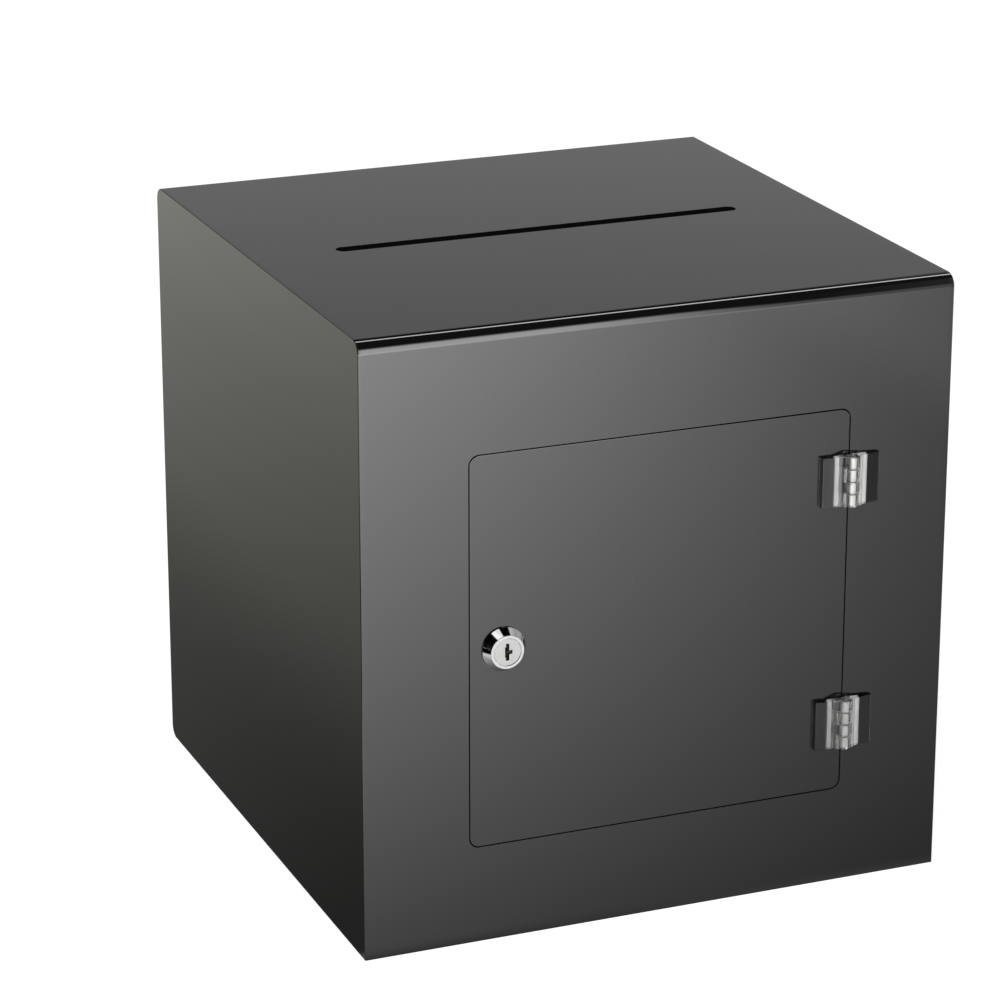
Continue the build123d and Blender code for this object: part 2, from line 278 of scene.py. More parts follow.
def dress(piece, body, slot, *nodes):
    """Gives a piece its finish, its body, its slot and the CAD nodes that it stands for."""
    piece.data.materials.clear()
    piece.data.materials.append(FINISHES[slot])
    piece.data.polygons.foreach_set("material_index", [0] * len(piece.data.polygons))
    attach(piece, body)
    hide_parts(*nodes)


def arc(centre, radius, start, end, steps):
    """Points along an arc, its angles in degrees."""
    return [
        (
            centre[0] + radius * cos(radians(start + (end - start) * i / steps)),
            centre[1] + radius * sin(radians(start + (end - start) * i / steps)),
        )
        for i in range(steps + 1)
    ]


def rounded_rectangle(width, height, radius, centre=(0, 0), steps=12):
    """A closed outline with round corners."""
    points = []
    for across, up, start in ((1, 1, 0), (-1, 1, 90), (-1, -1, 180), (1, -1, 270)):
        corner = (
            centre[0] + across * (width / 2 - radius),
            centre[1] + up * (height / 2 - radius),
        )
        points += arc(corner, radius, start, start + 90, steps)
    return points


AXES = {
    "X": lambda u, v, w: (w, u, v),
    "Y": lambda u, v, w: (u, w, v),
    "Z": lambda u, v, w: (u, v, w),
}


def prism(outline, low, high, axis):
    """A closed outline drawn across an axis, as a solid from low to high along it."""
    bm = bmesh.new()
    place = AXES[axis]
    ends = [[bm.verts.new(place(u, v, w)) for u, v in outline] for w in (low, high)]
    bm.faces.new(ends[0])
    bm.faces.new(reversed(ends[1]))
    count = len(outline)
    for i in range(count):
        j = (i + 1) % count
        bm.faces.new((ends[0][i], ends[1][i], ends[1][j], ends[0][j]))
    return bm


def prism_object(name, outline, low, high, axis):
    """An object with the shape of such a solid."""
    return mesh_object(name, prism(outline, low, high, axis))


def add(tree, kind, inputs=None, **settings):
    """Adds a node. An input takes a value, a socket, or a list of sockets."""
    made = tree.nodes.new(kind)
    for key, value in settings.items():
        setattr(made, key, value)
    for key, value in (inputs or {}).items():
        socket = made.inputs[key]
        if isinstance(value, list):
            for source in value:
                tree.links.new(source, socket)
        elif isinstance(value, bpy.types.NodeSocket):
            tree.links.new(value, socket)
        else:
            socket.default_value = value
    return made


def calc(tree, operation, *values, clamp=False):
    """One step of arithmetic on sockets and numbers."""
    return add(
        tree,
        "ShaderNodeMath",
        dict(enumerate(values)),
        operation=operation,
        use_clamp=clamp,
    ).outputs[0]


def times(tree, first, *others):
    """A product of sockets and numbers."""
    for other in others:
        first = calc(tree, "MULTIPLY", first, other)
    return first


def plus(tree, first, *others):
    """A sum of sockets and numbers."""
    for other in others:
        first = calc(tree, "ADD", first, other)
    return first


def brightest(tree, first, *others):
    """The largest of some sockets and numbers."""
    for other in others:
        first = calc(tree, "MAXIMUM", first, other)
    return first


def ramp(tree, value, low, high, at_low=0.0, at_high=1.0):
    """A smooth step of a value from one level to another."""
    made = add(
        tree,
        "ShaderNodeMapRange",
        {"Value": value, "From Min": low, "From Max": high, "To Min": at_low, "To Max": at_high},
        interpolation_type="SMOOTHSTEP",
    )
    return made.outputs["Result"]


def window(tree, value, low, high, soft):
    """One between two levels, with soft sides."""
    return times(
        tree,
        ramp(tree, value, low - soft, low + soft),
        ramp(tree, value, high - soft, high + soft, 1.0, 0.0),
    )


def new_tree(name, inputs):
    """A geometry tree with named inputs, with the sockets of its input and of its output."""
    tree = bpy.data.node_groups.new(name, "GeometryNodeTree")
    tree.interface.new_socket("Geometry", in_out="INPUT", socket_type="NodeSocketGeometry")
    for label, kind in inputs.items():
        tree.interface.new_socket(label, in_out="INPUT", socket_type="NodeSocket" + kind)
    tree.interface.new_socket("Material", in_out="INPUT", socket_type="NodeSocketMaterial")
    tree.interface.new_socket("Geometry", in_out="OUTPUT", socket_type="NodeSocketGeometry")
    return tree, tree.nodes.new("NodeGroupInput").outputs, tree.nodes.new("NodeGroupOutput").inputs


def end_tree(tree, geometry, given, result):
    """Ends a tree with real meshes that have the piece's material."""
    real = add(tree, "GeometryNodeRealizeInstances", {"Geometry": geometry})
    dressed = add(
        tree, "GeometryNodeSetMaterial", {"Geometry": real.outputs[0], "Material": given["Material"]}
    )
    tree.links.new(dressed.outputs[0], result["Geometry"])


def grow(piece, tree, sizes):
    """Runs a geometry tree on a piece, with its inputs set by name, and bakes the result."""
    layer = piece.modifiers.new(tree.name, "NODES")
    layer.node_group = tree
    for item in tree.interface.items_tree:
        if item.in_out == "INPUT" and item.name in sizes:
            layer[item.identifier] = sizes[item.name]
    bake(piece)


def join_solids(tree, operation, first, *others):
    """One mesh out of closed meshes, by an exact union or difference."""
    made = add(tree, "GeometryNodeMeshBoolean", operation=operation, solver="EXACT")
    sources = others
    if operation == "DIFFERENCE":
        tree.links.new(first, made.inputs[0])
    else:
        sources = (first, *others)
    for source in sources:
        tree.links.new(source, made.inputs[1])
    return made.outputs[0]


def moved(tree, geometry, place, turn=(0, 0, 0)):
    """A geometry moved, and first turned, its angles in radians."""
    return add(
        tree,
        "GeometryNodeTransform",
        {"Geometry": geometry, "Translation": place, "Rotation": turn},
    ).outputs[0]


def row(tree, count, start, step, item):
    """Copies of an item along a straight row."""
    line = add(
        tree,
        "GeometryNodeMeshLine",
        {"Count": count, "Start Location": start, "Offset": step},
        mode="OFFSET",
    )
    placed = add(
        tree, "GeometryNodeInstanceOnPoints", {"Points": line.outputs[0], "Instance": item}
    )
    return placed.outputs[0]


def new_finish(name):
    """An empty material with its output and the object's coordinates."""
    material = bpy.data.materials.new(name)
    material.use_nodes = True
    tree = material.node_tree
    tree.nodes.clear()
    output = tree.nodes.new("ShaderNodeOutputMaterial")
    place = tree.nodes.new("ShaderNodeTexCoord").outputs["Object"]
    return material, tree, output, place


def grain(tree, place, scale, detail=2.0, stretch=(1, 1, 1), roughness=0.5):
    """Noise on the object's coordinates, finer along the stretched axes."""
    mapped = add(tree, "ShaderNodeMapping", {"Vector": place, "Scale": stretch})
    return add(
        tree,
        "ShaderNodeTexNoise",
        {"Vector": mapped.outputs[0], "Scale": scale, "Detail": detail, "Roughness": roughness},
    ).outputs[0]


def two_tone(tree, factor, low, high):
    """A colour between two, by a factor."""
    mix = tree.nodes.new("ShaderNodeMix")
    mix.data_type = "RGBA"
    tree.links.new(factor, mix.inputs["Factor"])
    mix.inputs[6].default_value = (*low, 1)
    mix.inputs[7].default_value = (*high, 1)
    return mix.outputs[2]


def relief(tree, height, strength, depth):
    """The surface's normal, bent by a height."""
    bump = add(
        tree, "ShaderNodeBump", {"Height": height, "Strength": strength, "Distance": depth}
    )
    return bump.outputs[0]


def cover(tree, output, inputs):
    """Ends a finish with one surface that has the given inputs."""
    shader = add(tree, "ShaderNodeBsdfPrincipled", inputs)
    tree.links.new(shader.outputs[0], output.inputs["Surface"])


def black_acrylic():
    """Polished black sheet: deep colour, faint wipe marks and a very slow waviness."""
    material, tree, output, place = new_finish("black_acrylic")
    smears = grain(tree, place, 14, 3, (1, 1, 2.4))
    wipes = grain(tree, place, 30, 2, (1, 1, 14), 0.6)
    polish = plus(
        tree,
        ramp(tree, smears, 0.35, 0.75, 0.018, 0.040),
        ramp(tree, wipes, 0.55, 0.80, 0.0, 0.018),
    )
    cover(
        tree,
        output,
        {
            "Base Color": two_tone(
                tree, smears, (0.0036, 0.0036, 0.0036), (0.0048, 0.0047, 0.0046)
            ),
            "Roughness": polish,
            "IOR": ACRYLIC_IOR,
            "Normal": relief(tree, grain(tree, place, 9, 1), 0.5, 0.06 * MM),
        },
    )
    return material


def clear_acrylic():
    """Clear moulded acrylic with a slightly uneven skin."""
    material, tree, output, place = new_finish("clear_acrylic")
    skin = grain(tree, place, 400, 2)
    cover(
        tree,
        output,
        {
            "Base Color": two_tone(tree, skin, (0.93, 0.94, 0.93), (0.97, 0.98, 0.97)),
            "Roughness": ramp(tree, skin, 0.3, 0.7, 0.01, 0.05),
            "IOR": ACRYLIC_IOR,
            "Transmission Weight": 1.0,
        },
    )
    return material


def cement_film():
    """The hinge leaf's glued back, where the clear plastic is one with the black sheet."""
    material, tree, output, place = new_finish("cement_film")
    film = grain(tree, place, 250, 2)
    cover(
        tree,
        output,
        {
            "Base Color": two_tone(tree, film, (0.002, 0.002, 0.002), (0.006, 0.006, 0.006)),
            "Roughness": 1.0,
            "Specular IOR Level": 0.0,
        },
    )
    return material


def frosted_underside():
    """The hinge leaf's underside beside the knuckles, frosted by the mould and free of cement."""
    material, tree, output, place = new_finish("frosted_underside")
    frost = grain(tree, place, 900, 3)
    cover(
        tree,
        output,
        {
            "Base Color": two_tone(tree, frost, (0.52, 0.52, 0.52), (0.68, 0.68, 0.675)),
            "Roughness": ramp(tree, frost, 0.3, 0.7, 0.45, 0.65),
        },
    )
    return material


def metal(name, dark, light, roughness, scale, stretch=(1, 1, 1), depth=0.0, bare=1.0):
    """A metal with fine grain in its colour, roughness and relief; a dull plating is less bare."""
    material, tree, output, place = new_finish(name)
    fine = grain(tree, place, scale, 3, stretch)
    inputs = {
        "Base Color": two_tone(tree, fine, dark, light),
        "Metallic": bare,
        "Roughness": ramp(tree, fine, 0.25, 0.75, *roughness),
    }
    if depth:
        inputs["Normal"] = relief(tree, fine, 0.6, depth)
    cover(tree, output, inputs)
    return material


def chrome_plate():
    """Bright chrome plate: satin on the bezel's flat face, and in the joint round its rim darker
    (painted contact shade) and rougher.
    """
    material, tree, output, place = new_finish("chrome_plate")
    depth = add(tree, "ShaderNodeSeparateXYZ", {0: place}).outputs[1]
    flat = FRONT - BEZEL_HEIGHT
    face = ramp(tree, depth, flat + 0.30 * MM, flat + 0.15 * MM)
    # The joint round the rim: its colour is darkened as painted contact shade, and its roughness is
    # raised
    shaded_joint = window(tree, depth, FRONT - BEZEL_RIM - 0.02 * MM, FRONT + 0.1 * MM, 0.05 * MM)
    fine = grain(tree, place, 220, 3)
    darker = plus(tree, times(tree, face, 0.33), times(tree, shaded_joint, 0.50))
    duller = plus(tree, times(tree, face, 0.34), times(tree, shaded_joint, 0.15))
    cover(
        tree,
        output,
        {
            "Base Color": calc(tree, "SUBTRACT", ramp(tree, fine, 0.3, 0.7, 0.60, 0.67), darker),
            "Metallic": 1.0,
            "Roughness": plus(tree, ramp(tree, fine, 0.25, 0.75, 0.05, 0.10), duller),
        },
    )
    return material


def satin_chrome():
    """Satin chrome plate, with the fine rings of its turning about the lock's axis."""
    material, tree, output, place = new_finish("satin_chrome")
    split = add(tree, "ShaderNodeSeparateXYZ", {0: place})
    across = calc(tree, "SUBTRACT", split.outputs[0], LOCK_X)
    up = calc(tree, "SUBTRACT", split.outputs[2], LOCK_Z)
    squares = plus(tree, times(tree, across, across), times(tree, up, up))
    radius = calc(tree, "SQRT", squares)
    rings = calc(tree, "SINE", times(tree, radius, TURNING_RINGS))
    fine = grain(tree, place, 900, 2)
    cover(
        tree,
        output,
        {
            "Base Color": two_tone(tree, fine, (0.26, 0.26, 0.26), (0.30, 0.30, 0.295)),
            "Metallic": 1.0,
            "Roughness": ramp(tree, fine, 0.3, 0.7, 0.44, 0.52),
            "Normal": relief(tree, plus(tree, rings, fine), 0.15, 0.008 * MM),
        },
    )
    return material


FINISHES = {
    "black_acrylic": black_acrylic(),
    "clear_acrylic": clear_acrylic(),
    "chrome_plate": chrome_plate(),
    "satin_chrome": satin_chrome(),
    "bright_steel": metal(
        "bright_steel",
        dark=(0.40, 0.40, 0.39),
        light=(0.48, 0.48, 0.47),
        roughness=(0.44, 0.56),
        scale=500,
        stretch=(1, 1, 0.1),
    ),
    "zinc_plate": metal(
        "zinc_plate",
        dark=(0.27, 0.28, 0.30),
        light=(0.36, 0.37, 0.39),
        roughness=(0.28, 0.42),
        scale=160,
        depth=0.01 * MM,
        bare=0.35,
    ),
    "tumbler_brass": metal(
        "tumbler_brass",
        dark=(0.58, 0.42, 0.18),
        light=(0.72, 0.55, 0.27),
        roughness=(0.20, 0.35),
        scale=300,
    ),
}
CEMENT = cement_film()
FROST = frosted_underside()


def wrap_outline():
    """The bent sheet seen from the right: from the bottom's front end round to the front's foot."""

    def run(inset):
        """One side of the sheet, set in from its outer side."""
        half = DEPTH / 2 - inset
        radius = BEND_RADIUS - inset
        low = inset
        high = HEIGHT - inset
        points = [(FRONT + SHEET + SEAM_GAP, low)]
        points += arc((half - radius, low + radius), radius, -90, 0, BEND_STEPS)
        points += arc((half - radius, high - radius), radius, 0, 90, BEND_STEPS)
        points += arc((radius - half, high - radius), radius, 90, 180, BEND_STEPS)
        points.append((-half, 0))
        return points

    return run(0) + run(SHEET)[::-1]


def make_wrap_sheet():
    """Front, top, back and bottom of the box in one bent sheet, with its two openings."""
    half = WIDTH / 2 - SHEET
    wrap = prism_object("wrap_sheet_bent", wrap_outline(), -half, half, "X")
    opening = rounded_rectangle(
        DOOR_WIDTH + 2 * DOOR_GAP, DOOR_HEIGHT + 2 * DOOR_GAP, DOOR_CORNER + DOOR_GAP, (0, DOOR_Z)
    )
    cut(wrap, prism_object("opening", opening, FRONT - SHEET, FRONT + 2 * SHEET, "Y"))
    slot = rounded_rectangle(SLOT_LENGTH, SLOT_WIDTH, SLOT_WIDTH / 2 - TOLERANCE, steps=16)
    cut(wrap, prism_object("slot", slot, HEIGHT - 2 * SHEET, HEIGHT + SHEET, "Z"))
    door_reach = DOOR_WIDTH / 2 + DOOR_CORNER
    door_top = DOOR_Z + DOOR_HEIGHT / 2 + DOOR_CORNER

    def by_the_door(place):
        """Whether a place is on the front and near the door."""
        on_front = abs(place.y - FRONT) < TOLERANCE
        return on_front and abs(place.x) < door_reach and place.z < door_top

    def by_the_slot(place):
        """Whether a place is on the top and near the slot."""
        return abs(place.z - HEIGHT) < TOLERANCE and abs(place.y) < SLOT_WIDTH

    def at_an_opening(edge):
        """Whether an edge belongs to one of the two openings, at their outer side."""
        return all(by_the_door(v.co) for v in edge.verts) or all(by_the_slot(v.co) for v in edge.verts)

    soften(wrap, CUT_EDGE, 2, at_an_opening)
    shade(wrap)
    dress(wrap, "box", "black_acrylic", "wrap_sheet")


def make_side_panel(side, name):
    """A side panel glued over the bent sheet's edges, its outer edge eased by polishing."""
    half = DEPTH / 2
    outline = [(-half, 0)]
    outline += arc((half - BEND_RADIUS, BEND_RADIUS), BEND_RADIUS, -90, 0, BEND_STEPS)
    outline += arc((half - BEND_RADIUS, HEIGHT - BEND_RADIUS), BEND_RADIUS, 0, 90, BEND_STEPS)
    outline += arc((BEND_RADIUS - half, HEIGHT - BEND_RADIUS), BEND_RADIUS, 90, 180, BEND_STEPS)
    inner = side * (WIDTH / 2 - SHEET)
    outer = side * WIDTH / 2
    panel = prism_object(name + "_polished", outline, min(inner, outer), max(inner, outer), "X")
    soften(panel, ARRIS, 4, lambda edge: all(abs(v.co.x - outer) < TOLERANCE for v in edge.verts))
    shade(panel)
    dress(panel, "box", "black_acrylic", name)


def reach_with_flats(radius, flat, angle):
    """How far from the lock's axis a round shape with two upright flats reaches at an angle."""
    return min(radius, flat / max(abs(cos(angle)), TOLERANCE))


def lock_hole():
    """The threaded barrel's hole: round with two flats."""
    flat = BARREL_FLATS / 2 + LOCK_HOLE_PLAY
    radius = THREAD_RADIUS + LOCK_HOLE_PLAY
    points = []
    for i in range(LOCK_SIDES):
        angle = 2 * pi * i / LOCK_SIDES
        reach = reach_with_flats(radius, flat, angle)
        points.append((LOCK_X + reach * cos(angle), LOCK_Z + reach * sin(angle)))
    return points


def make_door_panel():
    """The flush door with round corners and its hole for the lock."""
    door = prism_object(
        "door_panel_polished",
        rounded_rectangle(DOOR_WIDTH, DOOR_HEIGHT, DOOR_CORNER, (0, DOOR_Z)),
        FRONT,
        FRONT + SHEET,
        "Y",
    )
    soften(door, CUT_EDGE, 2)
    cut(door, prism_object("hole", lock_hole(), FRONT - SHEET, FRONT + 2 * SHEET, "Y"))
    shade(door)
    dress(door, "door", "black_acrylic", "door_panel")


def cut_keyway(plug):
    """Cuts the groove at the keyway's left and the broad ward at its right into the plug's face."""
    for place, width, height in KEYWAY_CUTS:
        centre = (LOCK_X + place[0], LOCK_Z + place[1])
        outline = rounded_rectangle(width, height, KEYWAY_CORNER, centre, 4)
        low = PLUG_FACE - KEYWAY_CUT_DEPTH
        cut(plug, prism_object("keyway_cutter", outline, low, PLUG_FACE + KEYWAY_CUT_DEPTH, "Y"))


def smooth_copy(node, name, width):
    """A copy of a CAD node with its triangles joined, its flats cleaned and its edges eased."""
    bm = bmesh.new()
    bm.from_mesh(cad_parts[node].data)
    bmesh.ops.remove_doubles(bm, verts=bm.verts, dist=CAD_WELD)
    bmesh.ops.dissolve_limit(
        bm,
        angle_limit=radians(CAD_FLATNESS),
        verts=bm.verts,
        edges=bm.edges,
        use_dissolve_boundaries=False,
    )
    mesh = bpy.data.meshes.new(name)
    bm.to_mesh(mesh)
    bm.free()
    piece = link(name, mesh)
    if node == "lock_plug":
        cut_keyway(piece)
    soften(piece, width)
    shade(piece)
    return piece


def make_copies():
    """Small pieces whose shape comes from the CAD, with eased edges."""
    rows = (
        ("lock_plug", "satin_chrome", 0.1, "lock_cylinder"),
        ("stop_washer", "zinc_plate", 0.08, "lock_cylinder"),
        ("cam", "zinc_plate", 0.2, "lock_cylinder"),
        ("cam_screw", "zinc_plate", 0.12, "lock_cylinder"),
        ("cam_screw_washer", "zinc_plate", 0.08, "lock_cylinder"),
        ("upper_hinge_pin", "bright_steel", 0.2, "box"),
        ("lower_hinge_pin", "bright_steel", 0.2, "box"),
        ("upper_door_stop", "black_acrylic", 0.25, "box"),
        ("lower_door_stop", "black_acrylic", 0.25, "box"),
    )
    for node, finish, width, body in rows:
        piece = smooth_copy(node, node + "_eased", width * MM)
        dress(piece, body, finish, node)


def ramp_points(steps=10):
    """The leaf's hollow ramp, from its foot up to its crest, as (reach, height)."""
    foot = Vector((RAMP_FOOT, LEAF_THICKNESS))
    crest = Vector((CREST_REACH, CREST_HEIGHT))
    chord = crest - foot
    out = Vector((chord.y, -chord.x)).normalized()
    centre = (foot + crest) / 2 + out * sqrt(RAMP_RADIUS**2 - (chord.length / 2) ** 2)
    start = degrees(atan2(foot.y - centre.y, foot.x - centre.x))
    end = degrees(atan2(crest.y - centre.y, crest.x - centre.x))
    return arc(centre, RAMP_RADIUS, start, end, steps)


def leaf_outline(side, tip):
    """A leaf's section seen from above; side is -1 for the door's leaf and 1 for the frame's."""
    notch = BARREL_RADIUS + KNUCKLE_PLAY
    high = degrees(asin((CREST_HEIGHT - BARREL_HEIGHT) / notch))
    low = -degrees(acos(LEAF_ROOT / notch))
    points = [(RAMP_FOOT, 0), (LEAF_REACH, 0)]
    points += arc((LEAF_REACH - LEAF_EDGE, tip - LEAF_EDGE), LEAF_EDGE, 0, 90, 4)
    points += ramp_points()
    points += arc((0, BARREL_HEIGHT), notch, high, low, 20)
    points += [(reach, LEAF_RELIEF) for reach in (LEAF_ROOT, *FROSTED[side], RAMP_FOOT)]
    return [(HINGE_X + side * reach, FRONT - height) for reach, height in points]


def knuckle_tree():
    """Knuckles on their webs, every second one of a hinge, joined to a leaf and bored."""
    tree, given, result = new_tree(
        "knuckles",
        {
            "Lowest knuckle": "Vector",
            "Hinge middle": "Vector",
            "Step": "Vector",
            "Count": "Int",
            "Radius": "Float",
            "Height": "Float",
            "Web size": "Vector",
            "Web place": "Vector",
            "Bore radius": "Float",
            "Bore length": "Float",
        },
    )
    barrel = add(
        tree,
        "GeometryNodeMeshCylinder",
        {"Vertices": KNUCKLE_SIDES, "Radius": given["Radius"], "Depth": given["Height"]},
    )
    web = add(tree, "GeometryNodeMeshCube", {"Size": given["Web size"]})
    knuckle = join_solids(
        tree, "UNION", barrel.outputs[0], moved(tree, web.outputs[0], given["Web place"])
    )
    placed = row(tree, given["Count"], given["Lowest knuckle"], given["Step"], knuckle)
    real = add(tree, "GeometryNodeRealizeInstances", {"Geometry": placed})
    body = join_solids(tree, "UNION", given["Geometry"], real.outputs[0])
    bore = add(
        tree,
        "GeometryNodeMeshCylinder",
        {"Vertices": BORE_SIDES, "Radius": given["Bore radius"], "Depth": given["Bore length"]},
    )
    bored = join_solids(
        tree, "DIFFERENCE", body, moved(tree, bore.outputs[0], given["Hinge middle"])
    )
    end_tree(tree, bored, given, result)
    return tree


def make_leaf(node, body, side, first, middle_z, tree):
    """A clear hinge leaf with its knuckles and its glued pad."""
    tip = LEAF_THICKNESS if side < 0 else FRAME_LEAF_TIP
    low = middle_z - HINGE_HEIGHT / 2
    leaf = prism_object(node + "_moulded", leaf_outline(side, tip), low, low + HINGE_HEIGHT, "Z")
    zone = HINGE_HEIGHT / KNUCKLES
    height = zone - KNUCKLE_GAP
    axis_y = FRONT - BARREL_HEIGHT
    web_height = CREST_HEIGHT - BARREL_LIFT
    web_out = BARREL_LIFT + web_height / 2 - BARREL_HEIGHT
    grow(
        leaf,
        tree,
        {
            "Lowest knuckle": (HINGE_X, axis_y, low + (first + 0.5) * zone),
            "Hinge middle": (HINGE_X, axis_y, middle_z),
            "Step": (0.0, 0.0, 2 * zone),
            "Count": KNUCKLES // 2,
            "Radius": BARREL_RADIUS,
            "Height": height,
            "Web size": (CREST_REACH, web_height, height),
            "Web place": (side * CREST_REACH / 2, -web_out, 0.0),
            "Bore radius": BORE_RADIUS,
            "Bore length": 2 * HINGE_HEIGHT,
            "Material": FINISHES["clear_acrylic"],
        },
    )
    clear_of_back = 2 * LEAF_RELIEF
    soften(
        leaf,
        MOULDED_EDGE,
        2,
        lambda edge: any(FRONT - v.co.y > clear_of_back for v in edge.verts),
        50,
    )
    shade(leaf)
    dress(leaf, body, "clear_acrylic", node)
    leaf.data.materials.append(CEMENT)
    leaf.data.materials.append(FROST)
    glued, frosted = 1, 2
    near, far = FROSTED[side]
    inner = HINGE_HEIGHT / 2 - zone / 8
    for face in leaf.data.polygons:
        height = FRONT - face.center.y
        reach = abs(face.center.x - HINGE_X)
        faces_back = face.normal.y > FACING
        if faces_back and height < LEAF_RELIEF / 2:
            face.material_index = glued
        elif faces_back and height < 1.5 * LEAF_RELIEF and near < reach < far:
            face.material_index = frosted
        elif abs(face.normal.z) > FACING and abs(face.center.z - middle_z) < inner:
            face.material_index = frosted


def make_hinges():
    """The four leaves of the two hinges."""
    tree = knuckle_tree()
    for level, way in (("upper", 1), ("lower", -1)):
        middle_z = DOOR_Z + way * HINGE_SPACING / 2
        make_leaf(level + "_hinge_door_leaf", "door", -1, 1, middle_z, tree)
        make_leaf(level + "_hinge_frame_leaf", "box", 1, 0, middle_z, tree)


def turned(name, profile, reach=lambda radius, angle, y: radius):
    """A closed (radius, y) profile turned about the lock's axis, its radius limited by reach."""
    bm = bmesh.new()
    rings = []
    for radius, y in profile:
        ring = []
        for i in range(LOCK_SIDES):
            angle = 2 * pi * i / LOCK_SIDES
            out = reach(radius, angle, y)
            ring.append(bm.verts.new((LOCK_X + out * cos(angle), y, LOCK_Z + out * sin(angle))))
        rings.append(ring)
    for i, ring in enumerate(rings):
        after = rings[(i + 1) % len(rings)]
        for j in range(LOCK_SIDES):
            k = (j + 1) % LOCK_SIDES
            bm.faces.new((ring[j], ring[k], after[k], after[j]))
    return mesh_object(name, bm)


def make_lock_body():
    """Chromed housing: conical bezel, a barrel with two flats and a real thread, and a stop lug."""
    end = FRONT + BARREL_LENGTH
    face = FRONT - BEZEL_HEIGHT
    thread_start = FRONT + SHEET
    steps = round((end - thread_start) / THREAD_PITCH) * THREAD_STEPS
    profile = [
        (HEAD_BORE, face + HEAD_BORE_DEPTH),
        (HEAD_BORE, face + LIP_CHAMFER),
        (HEAD_BORE + LIP_CHAMFER, face),
    ]
    profile += arc((BEZEL_FACE - BEZEL_EDGE, face + BEZEL_EDGE), BEZEL_EDGE, -90, -30, 6)
    profile += [(BEZEL_RADIUS, FRONT - BEZEL_RIM), (BEZEL_RADIUS, FRONT), (THREAD_RADIUS, FRONT)]
    profile += [
        (THREAD_RADIUS, thread_start + (end - thread_start) * i / steps) for i in range(steps + 1)
    ]
    profile += [(BORE, end), (BORE, face + HEAD_BORE_DEPTH)]

    def reach(radius, angle, y):
        """Cuts the thread's groove and the barrel's flats."""
        if radius != THREAD_RADIUS:
            return radius
        if thread_start < y:
            phase = ((y - thread_start) / THREAD_PITCH - angle / (2 * pi)) % 1
            fade = min(1, (y - thread_start) / THREAD_PITCH)
            radius -= THREAD_DEPTH * fade * (1 - abs(2 * phase - 1))
        return reach_with_flats(radius, BARREL_FLATS / 2, angle)

    body = turned("lock_body_turned", profile, reach)
    half = STOP_LUG_ANGLE / 2
    sector = arc((LOCK_X, LOCK_Z), STOP_LUG[1], 90 - half, 90 + half, 8)
    sector += arc((LOCK_X, LOCK_Z), STOP_LUG[0], 90 + half, 90 - half, 8)
    lug = prism_object("lock_lug", sector, end - STOP_LUG_ROOT, end + STOP_LUG_HEIGHT, "Y")
    merge(body, lug)
    shade(body, 28)
    dress(body, "door", "chrome_plate", "lock_body")


def make_lock_nut():
    """The hexagonal nut, its corners chamfered at the back."""
    front = FRONT + SHEET + STAR_THICKNESS
    back = front + NUT_THICKNESS
    corner = NUT_FLATS / sqrt(3)
    slope = sqrt(3)
    profile = [(NUT_BORE, front), (corner, front)]
    for i in range(NUT_CHAMFER_STEPS + 1):
        step = NUT_CHAMFER * i / NUT_CHAMFER_STEPS
        profile.append((corner - slope * step, back - NUT_CHAMFER + step))
    profile.append((NUT_BORE, back))

    def reach(radius, angle, y):
        """Cuts the six flats."""
        return min(radius, NUT_FLATS / 2 / cos(angle % (pi / 3) - pi / 6))

    def off_the_front(edge):
        """Whether an edge leaves the face that lies on the washer."""
        return max(abs(v.co.y - front) for v in edge.verts) > TOLERANCE

    nut = turned("lock_nut_cut", profile, reach)
    soften(nut, NUT_EDGE, 2, off_the_front, 45)
    shade(nut)
    dress(nut, "door", "zinc_plate", "lock_nut")


def star_tree():
    """Twisted teeth round a ring."""
    tree, given, result = new_tree(
        "star_teeth",
        {
            "Count": "Int",
            "Radius": "Float",
            "Tooth size": "Vector",
            "Twist": "Float",
            "Centre": "Vector",
            "Turn": "Vector",
        },
    )
    circle = add(
        tree, "GeometryNodeMeshCircle", {"Vertices": given["Count"], "Radius": given["Radius"]}
    )
    block = add(tree, "GeometryNodeMeshCube", {"Size": given["Tooth size"]})
    lean = add(tree, "ShaderNodeCombineXYZ", {"X": given["Twist"]})
    tooth = moved(tree, block.outputs[0], (0, 0, 0), lean.outputs[0])
    place = tree.nodes.new("GeometryNodeInputPosition")
    outward = add(
        tree, "FunctionNodeAlignRotationToVector", {"Vector": place.outputs[0]}, axis="X", pivot_axis="Z"
    )
    teeth = add(
        tree,
        "GeometryNodeInstanceOnPoints",
        {"Points": circle.outputs[0], "Instance": tooth, "Rotation": outward.outputs[0]},
    )
    upright = moved(tree, teeth.outputs[0], given["Centre"], given["Turn"])
    both = add(tree, "GeometryNodeJoinGeometry", {"Geometry": [given["Geometry"], upright]})
    end_tree(tree, both.outputs[0], given, result)
    return tree


def make_star_washer():
    """The toothed lock washer between the nut and the door."""
    front = FRONT + SHEET
    back = front + STAR_THICKNESS
    ring = [(NUT_BORE, front), (STAR_RING, front), (STAR_RING, back), (NUT_BORE, back)]
    washer = turned("lock_star_washer_toothed", ring)
    sunk = STAR_RING - TOOTH_ROOT
    grow(
        washer,
        star_tree(),
        {
            "Count": STAR_TEETH,
            "Radius": (sunk + STAR_REACH) / 2,
            "Tooth size": (STAR_REACH - sunk, TOOTH_WIDTH, TOOTH_THICKNESS),
            "Twist": radians(TOOTH_TWIST),
            "Centre": (LOCK_X, (front + back) / 2, LOCK_Z),
            "Turn": (pi / 2, 0.0, 0.0),
            "Material": FINISHES["zinc_plate"],
        },
    )
    shade(washer)
    dress(washer, "door", "zinc_plate", "lock_star_washer")


def row_tree():
    """A piece repeated along a straight row."""
    tree, given, result = new_tree("row", {"Count": "Int", "Step": "Vector"})
    copies = row(tree, given["Count"], (0, 0, 0), given["Step"], given["Geometry"])
    end_tree(tree, copies, given, result)
    return tree


